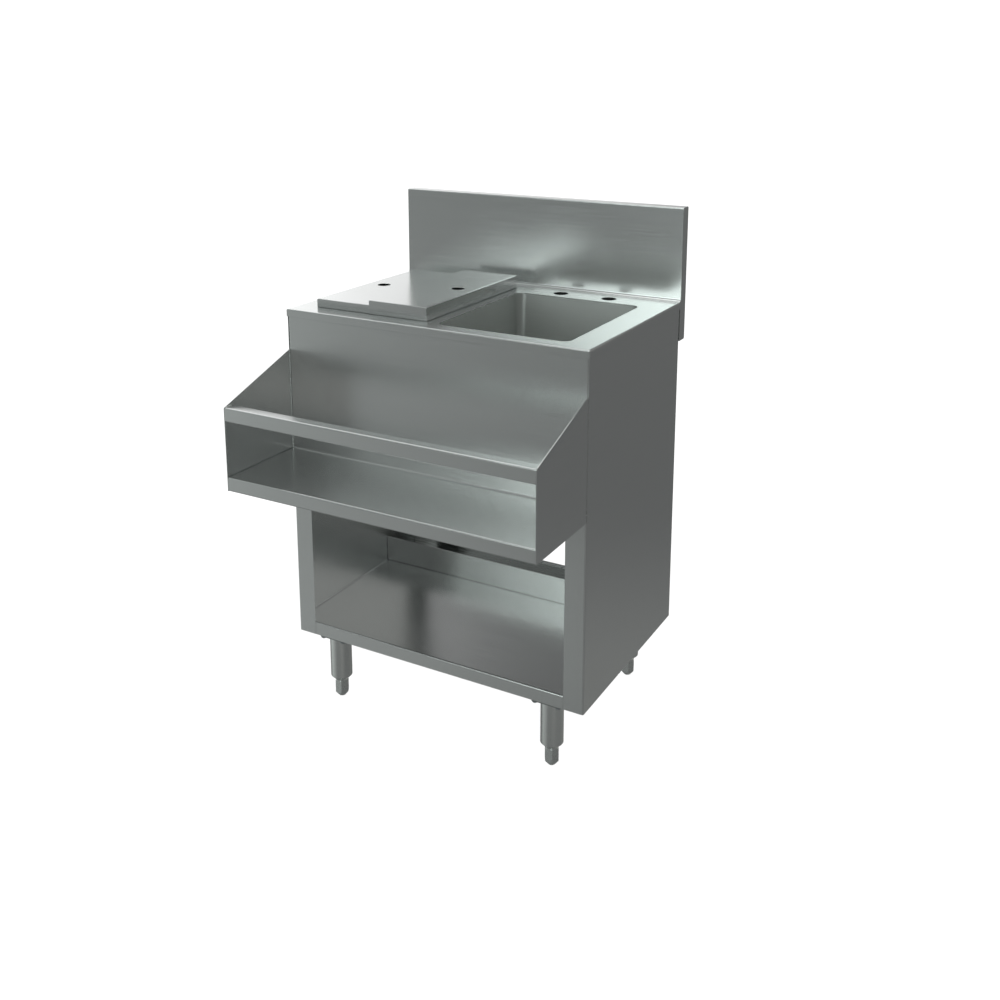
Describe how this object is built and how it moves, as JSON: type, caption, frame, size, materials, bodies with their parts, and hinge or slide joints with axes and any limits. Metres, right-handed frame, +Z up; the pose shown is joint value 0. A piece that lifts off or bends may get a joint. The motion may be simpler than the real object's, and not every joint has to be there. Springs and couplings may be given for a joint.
{
  "type": "bar sink with ice bin",
  "caption": "Free-standing stainless under-bar unit: sink bowl, covered insulated ice bin, backsplash, front bottle rail, open cabinet with shelf, and tubular legs with adjustable feet.",
  "frame": {"origin": "on the floor, midway across the width and midway between the front of the bottle rail and the back of the backsplash", "axes": "+X to the right for a person standing in front, +Y from the bottle rail to the backsplash, +Z up"},
  "size_m": [0.6096, 0.6096, 0.9525],
  "materials": {
    "brushed_sheet": "fine horizontal brushed grain",
    "cover_sheet": "fine brushed grain",
    "bowl_sheet": "satin, drawn and polished",
    "plain_sheet": "plain rolled",
    "leg_tube": "polished along the tube's girth",
    "foot_metal": "satin cast",
    "drain_metal": "polished",
    "screw_metal": "bright zinc",
    "rubber": "matt black",
    "foam": "foamed"
  },
  "bodies": {
    "cabinet": {"countertop": "brushed_sheet", "splash_end_right": "brushed_sheet", "splash_end_left": "brushed_sheet", "side_panel_right": "brushed_sheet", "side_panel_left": "brushed_sheet", "front_panel": "brushed_sheet", "lower_shelf": "brushed_sheet", "shelf_upstand": "brushed_sheet", "bottle_rail_end_right": "brushed_sheet", "bottle_rail_end_left": "brushed_sheet", "bottle_rail_bar": "brushed_sheet", "bottle_rail_tray": "brushed_sheet", "rear_rail": "plain_sheet", "deck_rear_channel": "plain_sheet", "deck_front_angle": "plain_sheet", "shelf_stiffener": "plain_sheet", "leg_channel_right": "plain_sheet", "leg_channel_left": "plain_sheet", "ice_bin_jacket": "plain_sheet", "sink_bowl": "bowl_sheet", "ice_bin_liner": "bowl_sheet", "sink_drain_body": "drain_metal", "sink_drain_outlet": "drain_metal", "sink_drain_locknut": "drain_metal", "sink_tailpiece": "drain_metal", "sink_coupling_nut": "drain_metal", "ice_bin_drain": "drain_metal", "ice_bin_strainer": "drain_metal", "ice_bin_drain_nut": "drain_metal", "sink_drain_gasket": "rubber", "ice_bin_foam": "foam", "leg_plate_front_left": "plain_sheet", "leg_tube_front_left": "leg_tube", "leg_insert_front_left": "leg_tube", "leg_plate_front_right": "plain_sheet", "leg_tube_front_right": "leg_tube", "leg_insert_front_right": "leg_tube", "leg_plate_rear_left": "plain_sheet", "leg_tube_rear_left": "leg_tube", "leg_insert_rear_left": "leg_tube", "leg_plate_rear_right": "plain_sheet", "leg_tube_rear_right": "leg_tube", "leg_insert_rear_right": "leg_tube", "leg_screws": "screw_metal"},
    "cover_left": {"cover_left": "cover_sheet"},
    "cover_right": {"cover_right": "cover_sheet"},
    "strainer": {"sink_strainer": "drain_metal", "sink_stopper": "rubber"},
    "foot_front_left": {"foot_front_left": "foot_metal"},
    "foot_front_right": {"foot_front_right": "foot_metal"},
    "foot_rear_left": {"foot_rear_left": "foot_metal"},
    "foot_rear_right": {"foot_rear_right": "foot_metal"}
  },
  "joints": [
    {"name": "cover_left_slide", "type": "slide", "parent": "cabinet", "child": "cover_left", "axis": [1, 0, 0], "range_m": [0, 0.11]},
    {"name": "cover_right_slide", "type": "slide", "parent": "cabinet", "child": "cover_right", "axis": [1, 0, 0], "range_m": [-0.11, 0]},
    {"name": "strainer_lift", "type": "slide", "parent": "cabinet", "child": "strainer", "axis": [0, 0, 1], "range_m": [0, 0.0095]},
    {"name": "foot_front_left_screw", "type": "slide", "parent": "cabinet", "child": "foot_front_left", "axis": [0, 0, -1], "range_m": [0, 0.025]},
    {"name": "foot_front_right_screw", "type": "slide", "parent": "cabinet", "child": "foot_front_right", "axis": [0, 0, -1], "range_m": [0, 0.025]},
    {"name": "foot_rear_left_screw", "type": "slide", "parent": "cabinet", "child": "foot_rear_left", "axis": [0, 0, -1], "range_m": [0, 0.025]},
    {"name": "foot_rear_right_screw", "type": "slide", "parent": "cabinet", "child": "foot_rear_right", "axis": [0, 0, -1], "range_m": [0, 0.025]}
  ]
}
